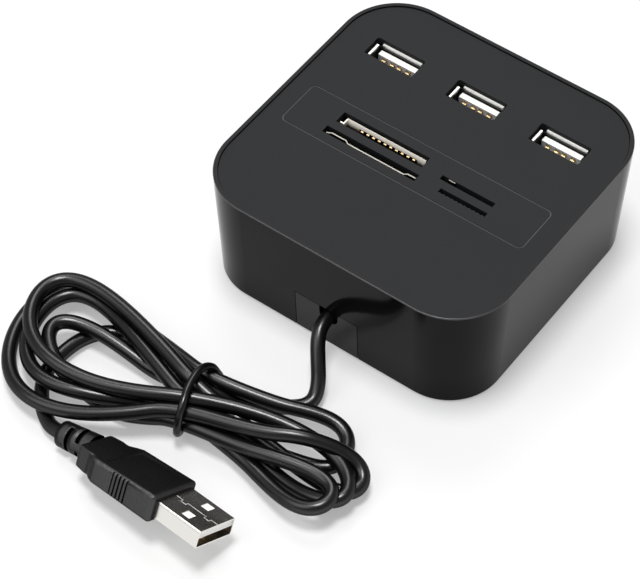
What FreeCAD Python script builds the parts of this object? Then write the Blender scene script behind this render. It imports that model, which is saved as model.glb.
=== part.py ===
import FreeCAD, Part
import math
import os

# Desktop hub with three upright sockets, four card slots and a tied cord with a plug.
# Millimetres. X runs along the row of sockets, Y from the cord side to the back, Z up.
# The origin is at the middle of the body's footprint, on the surface that it stands on.

V = FreeCAD.Vector

# Body
body_width = 80.0
body_depth = 79.0
body_height = 32.9
corner_radius = 15.5
wall_draft = 1.5
wall = 1.8
rim_width = 1.1
rim_round = 0.3
foot_height = 0.6

# Top panel, set into the rim on a ledge
panel_thickness = 2.0
panel_sink = 0.4
panel_gap = 0.15
ledge_width = 1.7
ledge_thickness = 1.8
line_width = 68.4
line_depth = 13.8
line_y = -4.0
line_radius = 1.6
line_groove = 0.3
line_cut = 0.15

# Base, screws and feet
base_thickness = 2.0
base_recess = 0.3
base_gap = 0.12
boss_inset = 10.2
boss_diameter = 6.6
boss_height = 11.0
boss_rib = 1.8
screw_diameter = 2.1
screw_head = 4.4
screw_head_height = 1.0
screw_length = 8.0
screw_recess = 2.4
screw_recess_width = 0.6
screw_recess_depth = 0.5
screw_clearance = 0.1
foot_diameter = 8.0
foot_pocket = 0.4
foot_chamfer = 0.4

# Cable tab in the front wall
tab_x = -0.4
tab_width = 17.6
tab_top = 13.3
tab_seam = 0.18
tab_thickness = 2.2
notch_width = 5.2
notch_depth = 4.8

# Boards
board_thickness = 1.6
main_board_width = 68.0
main_board_front = 2.4
main_board_back = 33.0
main_board_corner = 9.0
post_diameter = 5.0
post_front_x = 31.0
post_front_y = 8.5
post_back_x = 11.85
post_back_y = 30.0
reader_board_y = -4.75
reader_board_thickness = 1.0
reader_board_left = -26.0
reader_board_right = 25.0
rail_x = 20.0
rail_length = 5.0
rail_wall = 1.6
rail_base = 1.7
rail_slot_depth = 1.8
board_slip = 0.08
rail_clearance = 0.25

# Parts on the boards
chip_lead = 0.22
chip_stand_off = 0.1
hub_chip_x = -9.0
hub_chip_length = 10.0
hub_chip_width = 4.0
hub_chip_lead_count = 14
reader_chip_x = 8.0
reader_chip_length = 7.0
reader_chip_width = 7.0
reader_chip_lead_count = 12
chip_y = 10.0
chip_height = 1.5
crystal_x = 21.0
crystal_length = 10.5
crystal_width = 4.4
crystal_height = 3.4
capacitor_x = -24.0
capacitor_pitch = 5.2
capacitor_count = 2
capacitor_diameter = 4.0
capacitor_height = 5.2
capacitor_chamfer = 0.35
link_count = 6
link_pitch = 2.0
link_x = 14.5
link_drop = 4.5
link_pin = 0.6
link_body_height = 2.4
link_body_depth = 2.4
link_reach = 2.0
link_tail = 0.9
hole_slip = 0.1

# Upright sockets
port_count = 3
port_pitch = 23.7
port_y = 21.5
port_cut_width = 14.0
port_cut_depth = 6.2
port_width = 13.1
port_depth = 6.0
port_height = 13.65
port_drop = 1.15
port_corner = 0.5
lip_thickness = 0.55
lip_height = 1.2
lip_left_relief = 1.3
lip_right_relief = 0.45
lip_side_relief = 1.0
sheet = 0.3
tongue_width = 10.8
tongue_thickness = 1.55
tongue_back_gap = 0.35
tongue_drop = 1.85
insulator_base = 3.6
contact_offsets = (-3.5, -1.0, 1.0, 3.5)
contact_width = 1.0
contact_thickness = 0.25
contact_tip_drop = 0.9
contact_nose = 0.55
contact_notch = 0.4
solder_reach = 1.2
window_width = 2.2
window_height = 5.0
window_spread = 3.1
peg_width = 1.6

# Card slots, from the board faces outwards
slot_1_x = -10.6
slot_1_width = 24.6
slot_1_near = 0.55
slot_1_card = 2.25
slot_1_behind = 1.3
slot_1_back = 0.6
slot_1_step = 0.8
slot_1_step_reach = 1.45
slot_1_contacts = 10
slot_1_contact_x = -9.4
slot_1_contact_pitch = 1.65
slot_1_contact_rise = 0.5
slot_1_window_margin = 0.2
slot_2_x = -10.5
slot_2_width = 26.4
slot_2_plate = 0.75
slot_2_card = 1.6
slot_2_jog = 0.6
slot_2_channel_x = -8.6
slot_2_channel = 15.9
slot_2_curl = 1.3
slot_2_left_gap = 0.9
slot_2_contacts = 10
slot_2_contact_pitch = 1.4
slot_3_x = 14.45
slot_3_width = 14.7
slot_3_plate = 0.25
slot_3_card = 0.95
slot_3_tab_inset = 1.8
slot_3_tab_width = 1.8
slot_3_contacts = 8
slot_3_contact_pitch = 1.1
slot_3_depth = 14.5
slot_4_x = 15.5
slot_4_width = 13.0
slot_4_plate = 1.05
slot_4_card = 1.05
slot_4_contacts = 11
slot_4_contact_pitch = 0.95
slot_4_depth = 14.0
slot_mouth_gap = 0.25
socket_drop = 0.25
socket_rail = 1.3
socket_stop = 1.6
flare_radius = 2.6
flare_angle = 38.0
bump_width = 0.7
bump_height = 1.3
bump_reach = 0.4
bump_drop = 2.4
tooth_width = 0.6
tooth_depth = 0.5

# Cord and its clamp
cord_diameter = 3.6
cord_x = 0.3
cord_z = 10.95
cord_slip = 0.05
stub_past_clamp = 5.0
lead_start = -38.0
clamp_inset = 10.0
clamp_length = 4.2
clamp_width = 16.0
clamp_height = 3.4
clamp_gap = 0.3
clamp_screw_pitch = 10.6
wire_count = 4
wire_diameter = 1.0
wire_bundle = 1.15
wire_fan = 2.3
wire_straight = 4.0
wire_drop_run = 6.0
wire_height = 1.7
wire_reach = 7.6
wire_rise_run = 7.0
wire_rise_bend = 5.0
tie_diameter = 1.7
tie_x = -13.9
waist_y = -71.9
waist_width = 14.6
waist_round = 3.0
hank_height = 9.8
hank_round = 1.6

# Plug, in its own frame: X towards the mating end, origin at the front of the overmould
plug_x = 2.9
plug_y = -99.5
plug_yaw = -6.2
plug_tilt = -4.5
plug_roll = -28.0
mould_width = 14.6
mould_height = 8.0
mould_length = 18.6
neck_width = 10.6
neck_end = 25.6
shoulder = 3.4
mould_round = 0.9
recess_length = 12.5
recess_width = 9.4
recess_depth = 0.25
grip_count = 5
grip_pitch = 1.12
grip_width = 0.55
grip_depth = 0.45
grip_middle = 10.6
boot_front = 7.2
boot_rear = 6.4
boot_length = 13.2
boot_root = 3.4
boot_slot = 1.1
boot_slot_count = 2
boot_slot_start = 2.45
boot_slot_pitch = 3.25
boot_slot_floor = 4.4
boot_web = 2.2
boot_droop = 10.0
shell_width = 12.0
shell_height = 4.5
shell_length = 12.2
shell_inside = 6.0
shell_corner = 0.45
plug_hole = 2.3
plug_hole_x = 6.2
plug_hole_spread = 3.2
seam_width = 0.12
seam_teeth = (2.3, 9.4)
seam_tooth_length = 1.5
seam_tooth_reach = 0.8
insulator_height = 1.9
insulator_set_back = 0.3
pad_length = 7.4
pad_width = 1.1
pad_thickness = 0.15

# Levels and faces that follow from the sizes above
panel_top = body_height - panel_sink
panel_bottom = panel_top - panel_thickness
ledge_bottom = panel_bottom - ledge_thickness
base_bottom = foot_height + base_recess
base_top = base_bottom + base_thickness
boss_x = body_width / 2 - boss_inset
boss_y = body_depth / 2 - boss_inset
corners = [(sx * boss_x, sy * boss_y) for sx in (-1, 1) for sy in (-1, 1)]
port_mouth = panel_top - port_drop
board_top = port_mouth - port_height
board_bottom = board_top - board_thickness
posts = [(-post_front_x, post_front_y), (post_front_x, post_front_y),
         (-post_back_x, post_back_y), (post_back_x, post_back_y)]
far_face = reader_board_y + reader_board_thickness / 2
near_face = reader_board_y - reader_board_thickness / 2
socket_top = panel_bottom - socket_drop
mouth_top = panel_top - slot_mouth_gap
port_places = [(k - (port_count - 1) / 2) * port_pitch for k in range(port_count)]
pilot = screw_diameter + screw_clearance
front = -body_depth / 2
reader_board_bottom = base_top + rail_base
rail_top = reader_board_bottom + rail_slot_depth
deep_floor = rail_top + rail_clearance + socket_stop
link_z = board_bottom - link_drop
clamp_y = front + clamp_inset
stub_end = clamp_y + stub_past_clamp
wire_low = base_top + wire_height
wire_rise_y = main_board_front + wire_reach

edge_tolerance = 1e-4
run_share = 0.45

os.makedirs("parts", exist_ok=True)


def save(name, shape):
    shape.exportStep("parts/" + name + ".step")


def outline(width, depth, radius, z, x=0.0, y=0.0):
    # Level rounded rectangle: four quarter arcs joined by straight sides.
    arcs = []
    for turn, (sx, sy) in enumerate(((1, 1), (-1, 1), (-1, -1), (1, -1))):
        centre = V(x + sx * (width / 2 - radius), y + sy * (depth / 2 - radius), z)
        arcs.append(Part.makeCircle(radius, centre, V(0, 0, 1), 90 * turn, 90 * turn + 90))
    edges = []
    for arc, following in zip(arcs, arcs[1:] + arcs[:1]):
        end = arc.valueAt(arc.LastParameter)
        start = following.valueAt(following.FirstParameter)
        edges.append(arc)
        if end.distanceToPoint(start) > edge_tolerance:
            edges.append(Part.makeLine(end, start))
    return Part.Wire(edges)


def plate(width, depth, radius, z, height, x=0.0, y=0.0):
    return Part.Face(outline(width, depth, radius, z, x, y)).extrude(V(0, 0, height))


def block(x0, x1, y0, y1, z0, z1):
    return Part.makeBox(x1 - x0, y1 - y0, z1 - z0, V(x0, y0, z0))


def rod(diameter, x, y, z0, z1):
    return Part.makeCylinder(diameter / 2, z1 - z0, V(x, y, z0))


def rod_y(diameter, x, z, y0, y1):
    return Part.makeCylinder(diameter / 2, y1 - y0, V(x, y0, z), V(0, 1, 0))


def polygon(points):
    return Part.Face(Part.makePolygon(points + points[:1]))


def level_edges(shape, z):
    return [edge for edge in shape.Edges
            if max(abs(edge.BoundBox.ZMin - z), abs(edge.BoundBox.ZMax - z)) < edge_tolerance]


def wall_inset(z):
    # How far the tapered outer wall has drawn in at height z.
    return wall_draft * (body_height - z) / (body_height - foot_height)


def tapered(inset, z_low, z_high):
    # Solid that follows the outer wall at a constant inset.
    wires = []
    for z in (z_low, z_high):
        drawn_in = inset + wall_inset(z)
        wires.append(outline(body_width - 2 * drawn_in, body_depth - 2 * drawn_in,
                             corner_radius - drawn_in, z))
    return Part.makeLoft(wires, True, True)


def straight_inset(inset, z, height):
    return plate(body_width - 2 * inset, body_depth - 2 * inset, corner_radius - inset, z, height)


def screw(diameter, head, head_height, length):
    # Pan-head screw, head on top at z = 0 to head_height, with a cross recess.
    shape = rod(head, 0, 0, 0, head_height).fuse(rod(diameter, 0, 0, -length, 0))
    recess_floor = head_height - screw_recess_depth
    for size_x, size_y in ((screw_recess, screw_recess_width), (screw_recess_width, screw_recess)):
        shape = shape.cut(block(-size_x / 2, size_x / 2, -size_y / 2, size_y / 2, recess_floor, head_height))
    return shape


def placed(shape, x, y, z, upside_down=False):
    copy = shape.copy()
    if upside_down:
        copy.rotate(V(0, 0, 0), V(1, 0, 0), 180)
    copy.translate(V(x, y, z))
    return copy


def rounded_path(points, closed=False):
    # Straight runs joined by tangent arcs as large as the runs allow: the wire and the radii of its arcs.
    count = len(points)
    arcs = []
    radii = []
    for k in range(count) if closed else range(1, count - 1):
        corner = points[k]
        run_in = corner - points[k - 1]
        run_out = points[(k + 1) % count] - corner
        turn = run_in.getAngle(run_out)
        reach = run_share * min(run_in.Length, run_out.Length)
        radius = reach / math.tan(turn / 2)
        run_in.normalize()
        run_out.normalize()
        inward = (run_out - run_in).normalize()
        middle = corner + inward * (radius / math.cos(turn / 2) - radius)
        arcs.append((corner - run_in * reach, middle, corner + run_out * reach))
        radii.append(radius)
    edges = [] if closed else [Part.makeLine(points[0], arcs[0][0])]
    last = arcs[0] if closed else (points[-1],)
    for arc, following in zip(arcs, arcs[1:] + [last]):
        edges.append(Part.Arc(*arc).toShape())
        edges.append(Part.makeLine(arc[-1], following[0]))
    return Part.Wire(edges), radii


def tube(points, diameter, name):
    # Round cord along a rounded path, with its length, its bends and its volume against section times length.
    path, radii = rounded_path(points)
    section = Part.makeCircle(diameter / 2, points[0], points[1] - points[0])
    solid = path.makePipe(Part.Face(Part.Wire(section)))
    expected = math.pi * diameter ** 2 / 4 * path.Length
    print(name, "length %.1f" % path.Length, "radii", [round(radius, 1) for radius in radii],
          "volume ratio %.4f" % (solid.Volume / expected))
    return solid


# Case shell: tapered wall, open below, with the rim, the panel ledge and four screw bosses inside.
outer = tapered(0, foot_height, body_height)
outer = outer.makeFillet(rim_round, level_edges(outer, body_height))
case_shell = outer.cut(tapered(wall, foot_height, ledge_bottom))
case_shell = case_shell.cut(straight_inset(rim_width + ledge_width, ledge_bottom, ledge_thickness))
case_shell = case_shell.cut(straight_inset(rim_width, panel_bottom, body_height - panel_bottom))
for x, y in corners:
    boss = rod(boss_diameter, x, y, base_top, base_top + boss_height)
    rib = block(0, corner_radius, -boss_rib / 2, boss_rib / 2, base_top, base_top + boss_height)
    rib.rotate(V(0, 0, 0), V(0, 0, 1), math.degrees(math.atan2(y, x)))
    rib.translate(V(x, y, 0))
    boss = boss.fuse(rib.common(tapered(wall / 2, foot_height, body_height)))
    boss = boss.cut(rod(pilot, x, y, base_top, base_top + screw_length + screw_clearance))
    case_shell = case_shell.fuse(boss)
tab_left = tab_x - tab_width / 2
tab_right = tab_x + tab_width / 2
case_shell = case_shell.cut(block(tab_left - tab_seam, tab_right + tab_seam,
                                  front, front + wall_draft + 2 * wall, foot_height, tab_top + tab_seam))
save("case_shell", case_shell.removeSplitter())


# Top panel: plate with openings, a fine engraved line and four posts for the main board.
def slot_box(x, width, y0, y1):
    return block(x - width / 2, x + width / 2, y0, y1, panel_bottom, panel_top)


slot_1_y0 = far_face + slot_1_near
slot_1_y1 = slot_1_y0 + slot_1_card + slot_1_behind
slot_2_y1 = near_face - slot_2_plate
slot_2_y0 = slot_2_y1 - slot_2_card - 2 * sheet
slot_3_y0 = far_face + slot_3_plate / 2
slot_3_y1 = far_face + slot_3_plate + slot_3_card + sheet
slot_4_y1 = near_face - slot_4_plate
slot_4_y0 = slot_4_y1 - slot_4_card - sheet

top_panel = straight_inset(rim_width + panel_gap, panel_bottom, panel_thickness)
for x, y in posts:
    post = rod(post_diameter, x, y, board_top, panel_bottom)
    top_panel = top_panel.fuse(post.cut(rod(pilot, x, y, board_top, board_top + screw_length)))
for x in port_places:
    top_panel = top_panel.cut(plate(port_cut_width, port_cut_depth, port_corner,
                                    panel_bottom, panel_thickness, x, port_y))
for x, width, y0, y1 in ((slot_1_x, slot_1_width, slot_1_y0, slot_1_y1),
                         (slot_2_x, slot_2_width, slot_2_y0, slot_2_y1),
                         (slot_3_x, slot_3_width, slot_3_y0, slot_3_y1),
                         (slot_4_x, slot_4_width, slot_4_y0, slot_4_y1)):
    top_panel = top_panel.cut(slot_box(x, width, y0, y1))
groove = plate(line_width, line_depth, line_radius, panel_top - line_cut, line_cut, 0, line_y)
groove = groove.cut(plate(line_width - 2 * line_groove, line_depth - 2 * line_groove,
                          line_radius - line_groove, panel_top - line_cut, line_cut, 0, line_y))
top_panel = top_panel.cut(groove)
save("top_panel", top_panel.removeSplitter())

# Base cover: plate with screw holes under foot pockets, the cable tab, the cord cradle and the board rails.
base_cover = straight_inset(wall_draft + wall + base_gap, base_bottom, base_thickness)
tab_inner = front + wall_draft + tab_thickness
tab_root = tab_inner + wall + base_gap
tab = block(tab_left, tab_right, front, tab_root, foot_height, tab_top).common(outer)
tab = tab.cut(block(tab_left, tab_right, tab_inner, tab_root, base_top, tab_top))
notch_floor = tab_top - notch_depth + notch_width / 2
notch = block(cord_x - notch_width / 2, cord_x + notch_width / 2, front, tab_inner, notch_floor, tab_top)
notch = notch.fuse(rod_y(notch_width, cord_x, notch_floor, front, tab_inner))
base_cover = base_cover.fuse(tab.cut(notch))
cradle_x0 = cord_x - clamp_width / 2
cradle_x1 = cord_x + clamp_width / 2
cradle_y0 = clamp_y - clamp_length / 2
cradle_y1 = clamp_y + clamp_length / 2
clamp_screws_x = (cord_x - clamp_screw_pitch / 2, cord_x + clamp_screw_pitch / 2)
cradle = block(cradle_x0, cradle_x1, cradle_y0, cradle_y1, base_top, cord_z - clamp_gap / 2)
cord_bore = rod_y(cord_diameter + 2 * cord_slip, cord_x, cord_z, cradle_y0, cradle_y1)
cradle = cradle.cut(cord_bore)
for x in clamp_screws_x:
    cradle = cradle.cut(rod(pilot, x, clamp_y, base_top, cord_z))
base_cover = base_cover.fuse(cradle)
rail_half = reader_board_thickness / 2 + board_slip
for x in (-rail_x, rail_x):
    rail = block(x - rail_length / 2, x + rail_length / 2, reader_board_y - rail_half - rail_wall,
                 reader_board_y + rail_half + rail_wall, base_top, rail_top)
    rail = rail.cut(block(x - rail_length / 2, x + rail_length / 2, reader_board_y - rail_half,
                          reader_board_y + rail_half, reader_board_bottom, rail_top))
    base_cover = base_cover.fuse(rail)
foot_top = base_bottom + foot_pocket
head_seat = foot_top + screw_head_height
for x, y in corners:
    for diameter, z0, z1 in ((foot_diameter, base_bottom, foot_top), (screw_head, base_bottom, head_seat),
                             (screw_diameter, head_seat, base_top)):
        base_cover = base_cover.cut(rod(diameter + 2 * screw_clearance, x, y, z0, z1))
save("base_cover", base_cover.removeSplitter())

base_screw = screw(screw_diameter, screw_head, screw_head_height, screw_length)
save("base_screws", Part.makeCompound([placed(base_screw, x, y, head_seat, True) for x, y in corners]))

feet = []
for x, y in corners:
    foot = rod(foot_diameter, x, y, 0, foot_top)
    feet.append(foot.makeChamfer(foot_chamfer, level_edges(foot, 0)))
save("rubber_feet", Part.makeCompound(feet))

# Main board: level under the sockets, hung from the posts, with holes for pins, pegs and screws.
main_board_depth = main_board_back - main_board_front
main_board = plate(main_board_width, 2 * main_board_depth, main_board_corner, board_bottom, board_thickness,
                   0, main_board_front)
main_board = main_board.common(block(-main_board_width, main_board_width, main_board_front, main_board_back,
                                     board_bottom, board_top))
for x, y in posts:
    main_board = main_board.cut(rod(screw_diameter + 2 * screw_clearance, x, y, board_bottom, board_top))
board_screw = screw(screw_diameter, screw_head, screw_head_height, screw_length)
save("board_screws", Part.makeCompound([placed(board_screw, x, y, board_bottom, True) for x, y in posts]))

# Reader board: upright between the two rows of slots, its lower edge in the rails.
reader_board_top = socket_top
reader_board = block(reader_board_left, reader_board_right, near_face, far_face,
                     reader_board_bottom, reader_board_top)
wire_notch = wire_count / 2 * wire_fan
reader_board = reader_board.cut(block(cord_x - wire_notch, cord_x + wire_notch, near_face, far_face,
                                      reader_board_bottom, wire_low + wire_diameter))

# Right-angle pins from the reader board to the main board, in a plastic strip.
link_places = [link_x + (k - (link_count - 1) / 2) * link_pitch for k in range(link_count)]
link_end_y = main_board_front + link_reach
half_pin = link_pin / 2
link_header = block(link_places[0] - link_pitch / 2, link_places[-1] + link_pitch / 2, far_face,
                    far_face + link_body_depth, link_z - link_body_height / 2, link_z + link_body_height / 2)
link_pins = []
for x in link_places:
    level = block(x - half_pin, x + half_pin, near_face - link_tail, link_end_y + half_pin,
                  link_z - half_pin, link_z + half_pin)
    upright = block(x - half_pin, x + half_pin, link_end_y - half_pin, link_end_y + half_pin,
                    link_z - half_pin, board_top + link_tail)
    link_pins.append(level.fuse(upright).removeSplitter())
    open_pin = half_pin + hole_slip
    reader_board = reader_board.cut(block(x - open_pin, x + open_pin, near_face, far_face,
                                          link_z - open_pin, link_z + open_pin))
    link_header = link_header.cut(block(x - half_pin, x + half_pin, far_face, far_face + link_body_depth,
                                        link_z - half_pin, link_z + half_pin))
    main_board = main_board.cut(block(x - open_pin, x + open_pin, link_end_y - open_pin,
                                      link_end_y + open_pin, board_bottom, board_top))
save("link_header", link_header)
save("link_pins", Part.makeCompound(link_pins))
save("reader_board", reader_board)


def chip(length, width, leads, x, y):
    # Moulded package on gull-wing leads along both long sides, standing on the main board.
    body = block(-length / 2, length / 2, -width / 2, width / 2, chip_stand_off, chip_height)
    body = body.makeChamfer(chip_lead, level_edges(body, chip_height))
    pitch = length / leads
    shelf = chip_height / 2
    profile = [(-1, shelf), (2, shelf), (3, 0), (5, 0), (5, chip_lead), (4, chip_lead),
               (3, shelf + chip_lead), (-1, shelf + chip_lead)]
    for k in range(leads):
        lead_x = (k - (leads - 1) / 2) * pitch - pitch / 4
        for side in (-1, 1):
            points = [V(lead_x, side * (width / 2 + steps * chip_lead), z) for steps, z in profile]
            body = body.fuse(polygon(points).extrude(V(pitch / 2, 0, 0)))
    return placed(body.removeSplitter(), x, y, board_top)


save("hub_chip", chip(hub_chip_length, hub_chip_width, hub_chip_lead_count, hub_chip_x, chip_y))
save("reader_chip", chip(reader_chip_length, reader_chip_width, reader_chip_lead_count,
                         reader_chip_x, chip_y))
crystal = plate(crystal_length, crystal_width, crystal_width / 2, board_top, crystal_height,
                crystal_x, chip_y)
crystal_flange = plate(crystal_length + 2 * sheet, crystal_width + 2 * sheet, crystal_width / 2 + sheet,
                       board_top, sheet, crystal_x, chip_y)
save("crystal", crystal.fuse(crystal_flange).removeSplitter())
cans = []
for k in range(capacitor_count):
    can_top = board_top + capacitor_height
    can = rod(capacitor_diameter, capacitor_x + k * capacitor_pitch, chip_y, board_top, can_top)
    cans.append(can.makeChamfer(capacitor_chamfer, level_edges(can, can_top)))
save("capacitors", Part.makeCompound(cans))


# Upright sockets: folded shell, white tongue on a base, four sprung contacts, all standing on the main board.
def port_shell():
    # The walls end in hems, open at the corners; the wall with the seam, on the right, has none.
    wall_height = port_height - lip_height
    lip_bottom = board_top + wall_height
    shell = plate(port_width, port_depth, port_corner, board_top, wall_height)
    shell = shell.cut(plate(port_width - 2 * sheet, port_depth - 2 * sheet, port_corner - sheet,
                            board_top, wall_height))
    for side in (-1, 1):
        hem_y = side * (port_depth - lip_thickness) / 2
        shell = shell.fuse(block(-port_width / 2 + lip_left_relief, port_width / 2 - lip_right_relief,
                                 hem_y - lip_thickness / 2, hem_y + lip_thickness / 2,
                                 lip_bottom, port_mouth))
    hem_half = port_depth / 2 - lip_side_relief
    shell = shell.fuse(block(-port_width / 2, -port_width / 2 + lip_thickness, -hem_half, hem_half,
                             lip_bottom, port_mouth))
    window_z = board_top + port_height / 2
    for x in (-window_spread, window_spread):
        shell = shell.cut(block(x - window_width / 2, x + window_width / 2, -port_depth / 2, port_depth / 2,
                                window_z - window_height / 2, window_z + window_height / 2))
    for side in (-1, 1):
        edge = side * (port_width / 2 - sheet / 2)
        shell = shell.fuse(block(edge - sheet / 2, edge + sheet / 2, -peg_width / 2, peg_width / 2,
                                 board_bottom - solder_reach, board_top))
    return shell.removeSplitter()


tongue_back = port_depth / 2 - sheet - tongue_back_gap
tongue_front = tongue_back - tongue_thickness
contact_tip = port_mouth - tongue_drop - contact_tip_drop


def port_contact(grow):
    # One strip down the front of the tongue and through the base, with a rounded nose near its tip.
    half = contact_width / 2 + grow
    y0 = tongue_front - contact_thickness - grow
    strip = block(-half, half, y0, tongue_front, board_bottom - solder_reach, contact_tip)
    nose_at = V(-half, tongue_front - contact_thickness, contact_tip - contact_nose)
    nose = Part.makeCylinder(contact_nose, 2 * half, nose_at, V(1, 0, 0))
    ahead = block(-half, half, y0 - contact_nose, tongue_front, contact_tip - 2 * contact_nose, contact_tip)
    return strip.fuse(nose.common(ahead))


def port_insulator():
    # The tongue's face is notched over each contact, so that the sprung tip can move back.
    base = plate(port_width - 2 * sheet - hole_slip, port_depth - 2 * sheet - hole_slip, port_corner - sheet,
                 board_top, insulator_base)
    tongue = block(-tongue_width / 2, tongue_width / 2, tongue_front, tongue_back,
                   board_top, port_mouth - tongue_drop)
    notch_half = contact_width / 2 + contact_notch / 2
    for offset in contact_offsets:
        tongue = tongue.cut(block(offset - notch_half, offset + notch_half, tongue_front,
                                  tongue_front + contact_notch, contact_tip - 2 * contact_nose,
                                  contact_tip + contact_notch))
    return base.fuse(tongue)


def moved(shape, x, y):
    copy = shape.copy()
    copy.translate(V(x, y, 0))
    return copy


for number, x in enumerate(port_places, 1):
    save("port_%d_shell" % number, moved(port_shell(), x, port_y))
    insulator = port_insulator()
    strips = []
    for offset in contact_offsets:
        insulator = insulator.cut(moved(port_contact(hole_slip), offset, 0))
        strips.append(moved(port_contact(0), x + offset, port_y))
        hole = block(x + offset - contact_width / 2 - hole_slip, x + offset + contact_width / 2 + hole_slip,
                     port_y + tongue_front - contact_thickness - hole_slip, port_y + tongue_front + hole_slip,
                     board_bottom, board_top)
        main_board = main_board.cut(hole)
    save("port_%d_insulator" % number, moved(insulator.removeSplitter(), x, port_y))
    save("port_%d_contacts" % number, Part.makeCompound([strip.removeSplitter() for strip in strips]))
    for side in (-1, 1):
        edge = x + side * (port_width / 2 - sheet / 2)
        main_board = main_board.cut(block(edge - sheet / 2 - hole_slip, edge + sheet / 2 + hole_slip,
                                          port_y - peg_width / 2 - hole_slip,
                                          port_y + peg_width / 2 + hole_slip, board_bottom, board_top))
save("main_board", main_board)


# Card sockets: each is placed by its distance from the reader board's far or near face.
def off_board(side, x0, x1, u0, u1, z0, z1):
    if side > 0:
        return block(x0, x1, far_face + u0, far_face + u1, z0, z1)
    return block(x0, x1, near_face - u1, near_face - u0, z0, z1)


def bumps(side, x, count, pitch, seat, reach, top):
    # Row of gold contacts that stand off their seat, each with a rounded nose.
    row = []
    face_y = far_face + seat if side > 0 else near_face - seat
    nose_y = far_face + seat + reach if side > 0 else near_face - seat - reach
    radius = bump_height / 2
    for k in range(count):
        left = x + (k - (count - 1) / 2) * pitch - bump_width / 2
        start = V(left, face_y, top)
        end = V(left, face_y, top - bump_height)
        nose = V(left, nose_y, top - radius)
        arc = Part.Arc(start, nose, end).toShape()
        face = Part.Face(Part.Wire([arc, Part.LineSegment(end, start).toShape()]))
        row.append(face.extrude(V(bump_width, 0, 0)))
    return Part.makeCompound(row)


# Large card: a flared metal wall at the back with a window, a contact strip behind it and a stop below.
slot_1_wall = slot_1_near + slot_1_card
slot_1_strip = slot_1_wall + sheet + slot_1_back
lip_half = slot_1_width / 2 - 2 * sheet
lip_left = slot_1_x - lip_half
lip_right = slot_1_x + lip_half
window_top = socket_top + slot_1_contact_rise
row_half = (slot_1_contacts - 1) / 2 * slot_1_contact_pitch + bump_width
cover_1 = off_board(1, lip_left, lip_right, slot_1_wall, slot_1_wall + sheet, deep_floor, socket_top)
for sign in (-1, 1):
    edge = slot_1_x + sign * (lip_half - sheet / 2)
    cover_1 = cover_1.fuse(off_board(1, edge - sheet / 2, edge + sheet / 2, 0, slot_1_wall,
                                     deep_floor, socket_top))


def flare_point(radius, angle):
    turn = math.radians(angle)
    return V(lip_left + slot_1_step, far_face + slot_1_wall + flare_radius - radius * math.cos(turn),
             socket_top + radius * math.sin(turn))


inner_radius = flare_radius - sheet
flare_edges = [Part.Arc(flare_point(flare_radius, 0), flare_point(flare_radius, flare_angle / 2),
                        flare_point(flare_radius, flare_angle)).toShape(),
               Part.makeLine(flare_point(flare_radius, flare_angle), flare_point(inner_radius, flare_angle)),
               Part.Arc(flare_point(inner_radius, flare_angle), flare_point(inner_radius, flare_angle / 2),
                        flare_point(inner_radius, 0)).toShape(),
               Part.makeLine(flare_point(inner_radius, 0), flare_point(flare_radius, 0))]
cover_1 = cover_1.fuse(Part.Face(Part.Wire(flare_edges)).extrude(V(2 * lip_half - slot_1_step, 0, 0)))
lip_top = socket_top + flare_radius * math.sin(math.radians(flare_angle))
step_u = slot_1_wall - slot_1_step_reach
step_x = lip_left + slot_1_step
cover_1 = cover_1.fuse(off_board(1, step_x, step_x + sheet, step_u, slot_1_wall + sheet, socket_top, lip_top))
cover_1 = cover_1.fuse(off_board(1, lip_left, step_x + sheet, step_u, step_u + sheet, socket_top, lip_top))
window_half = row_half + slot_1_window_margin
cover_1 = cover_1.cut(off_board(1, slot_1_contact_x - window_half, slot_1_contact_x + window_half,
                                slot_1_wall, slot_1_strip, window_top - 2 * bump_height,
                                window_top + slot_1_window_margin))
save("slot_1_cover", cover_1.removeSplitter())
body_1 = off_board(1, lip_left, lip_right, slot_1_wall + sheet, slot_1_strip,
                   deep_floor - socket_stop, socket_top)
body_1 = body_1.fuse(off_board(1, lip_left, lip_right, 0, slot_1_wall + sheet,
                               deep_floor - socket_stop, deep_floor))
body_1 = body_1.fuse(off_board(1, slot_1_contact_x - row_half, slot_1_contact_x + row_half,
                               slot_1_wall + sheet, slot_1_strip, socket_top, window_top))
save("slot_1_body", body_1.removeSplitter())
save("slot_1_contacts", bumps(1, slot_1_contact_x, slot_1_contacts, slot_1_contact_pitch,
                              slot_1_wall + sheet, -sheet - bump_reach, window_top))


def tray(side, x, width, plate_depth, card, floor, count, pitch, name):
    # Plastic tray on the board: plate, two side rails and a stop, with a row of contacts on the plate.
    half = width / 2 + socket_rail
    shape = off_board(side, x - half, x + half, 0, plate_depth, floor - socket_stop, socket_top)
    shape = shape.fuse(off_board(side, x - half, x + half, plate_depth, plate_depth + card,
                                 floor - socket_stop, floor))
    for sign in (-1, 1):
        x0 = x + sign * (half - socket_rail / 2)
        shape = shape.fuse(off_board(side, x0 - socket_rail / 2, x0 + socket_rail / 2, plate_depth,
                                     plate_depth + card, floor, socket_top))
    contacts = bumps(side, x, count, pitch, plate_depth, bump_reach, socket_top - bump_drop)
    save(name + "_contacts", contacts)
    return shape, half


# Wide thin card: the cover's ends are jogged back towards the board, and its top edge stands in the slot.
body_2, half_2 = tray(-1, slot_2_x, slot_2_width, slot_2_plate, slot_2_card, deep_floor,
                      slot_2_contacts, slot_2_contact_pitch, "slot_2")
outer_u = slot_2_plate + slot_2_card
jog_u = outer_u - slot_2_jog
jog_run = slot_2_jog + sheet
channel_left = slot_2_channel_x - slot_2_channel / 2
channel_right = slot_2_channel_x + slot_2_channel / 2
mouth_left_2 = slot_2_x - slot_2_width / 2 + slot_2_left_gap
mouth_right_2 = slot_2_x + slot_2_width / 2 - sheet


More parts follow.
